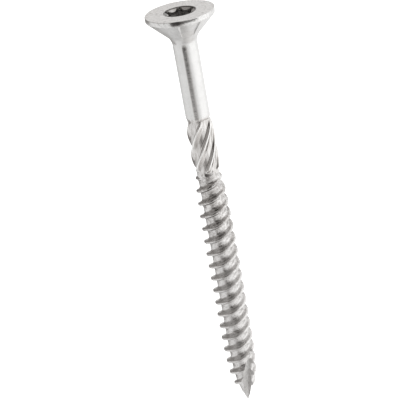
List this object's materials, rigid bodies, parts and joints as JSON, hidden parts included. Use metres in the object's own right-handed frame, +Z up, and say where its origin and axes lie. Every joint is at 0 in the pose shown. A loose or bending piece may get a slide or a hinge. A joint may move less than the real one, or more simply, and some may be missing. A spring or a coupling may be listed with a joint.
{
  "type": "construction screw",
  "caption": "Countersunk construction screw with six-lobe drive, pockets under the head, plain shank, ribbed shank cutter, coarse double thread and cut point, lying at rest.",
  "frame": {"origin": "centre of the bottom of the bounding box, on the surface that the screw lies on", "axes": "+X runs from the head to the point, nearly along the screw's axis, which dips 2.7 degrees towards the point because the screw rests on its head's rim and a thread crest; +Z is up"},
  "size_m": [0.0802, 0.0122, 0.0123],
  "materials": {
    "stainless_steel": "bright, rolled and drawn"
  },
  "bodies": {
    "root": {"screw": "stainless_steel"}
  },
  "joints": []
}
